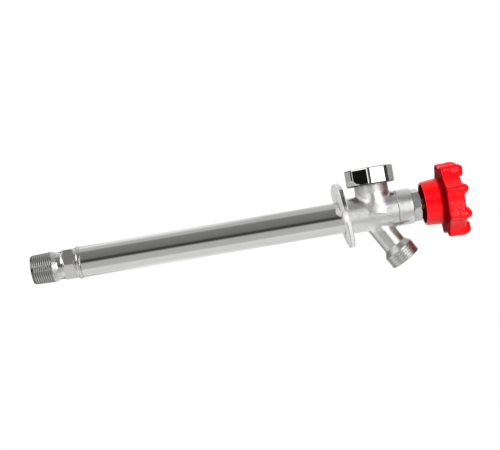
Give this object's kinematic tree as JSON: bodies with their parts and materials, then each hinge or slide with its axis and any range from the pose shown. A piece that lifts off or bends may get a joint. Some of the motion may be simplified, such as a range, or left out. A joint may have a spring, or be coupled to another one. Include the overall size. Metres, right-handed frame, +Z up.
{
  "type": "frost free sillcock",
  "caption": "Frost free wall tap: long chrome tube with pipe inlet, cast body with wall flange, hose outlet, vacuum breaker and red handle on a long valve stem.",
  "frame": {"origin": "point where the tube's axis meets the wall face of the flange, midway between the two screw slots", "axes": "+X along the tube from the wall out to the handle, +Z up towards the vacuum breaker's cap, -Y towards the picture's camera"},
  "size_m": [0.3749, 0.0778, 0.0889],
  "materials": {
    "mirror_chrome": "polished",
    "plated_fitting": "polished",
    "satin_casting": "satin",
    "satin_nut": "satin",
    "bare_brass": "satin",
    "spring_steel": "satin",
    "black_rubber": "matte",
    "fibre_gasket": "matte",
    "packing": "matte",
    "white_plastic": "matte",
    "red_paint": "gloss"
  },
  "bodies": {
    "housing": {"inlet_fitting": "plated_fitting", "casing_tube": "mirror_chrome", "wall_flange": "satin_casting", "body_casting": "satin_casting", "bonnet": "satin_casting", "bonnet_gasket": "fibre_gasket", "packing_washer": "bare_brass", "packing_rings": "packing", "packing_gland": "bare_brass", "packing_nut": "satin_nut", "breaker_guide": "bare_brass", "breaker_gasket": "black_rubber", "float_stop_ring": "spring_steel", "breaker_cap": "mirror_chrome"},
    "valve_disc": {"washer_holder": "bare_brass", "seat_washer": "black_rubber", "washer_screw": "bare_brass", "swivel_clip": "spring_steel"},
    "stem": {"stem_rod": "bare_brass", "spindle": "bare_brass", "stem_pin": "spring_steel", "handle_wheel": "red_paint", "handle_washer": "spring_steel", "handle_screw": "spring_steel"},
    "float": {"float_disc": "white_plastic", "float_seal": "black_rubber"}
  },
  "joints": [
    {"name": "valve_travel", "type": "slide", "parent": "housing", "child": "valve_disc", "axis": [1, 0, 0], "range_m": [0, 0.006]},
    {"name": "handle_turn", "type": "hinge", "parent": "valve_disc", "child": "stem", "pos_m": [0.09, 0, 0], "axis": [1, 0, 0], "range_deg": [0, 864]},
    {"name": "float_lift", "type": "slide", "parent": "housing", "child": "float", "axis": [0, 0, 1], "range_m": [0, 0.003]}
  ],
  "couplings": [
    {"joint": "valve_travel", "follows": "handle_turn", "m_per_rad": 0.00039788}
  ]
}
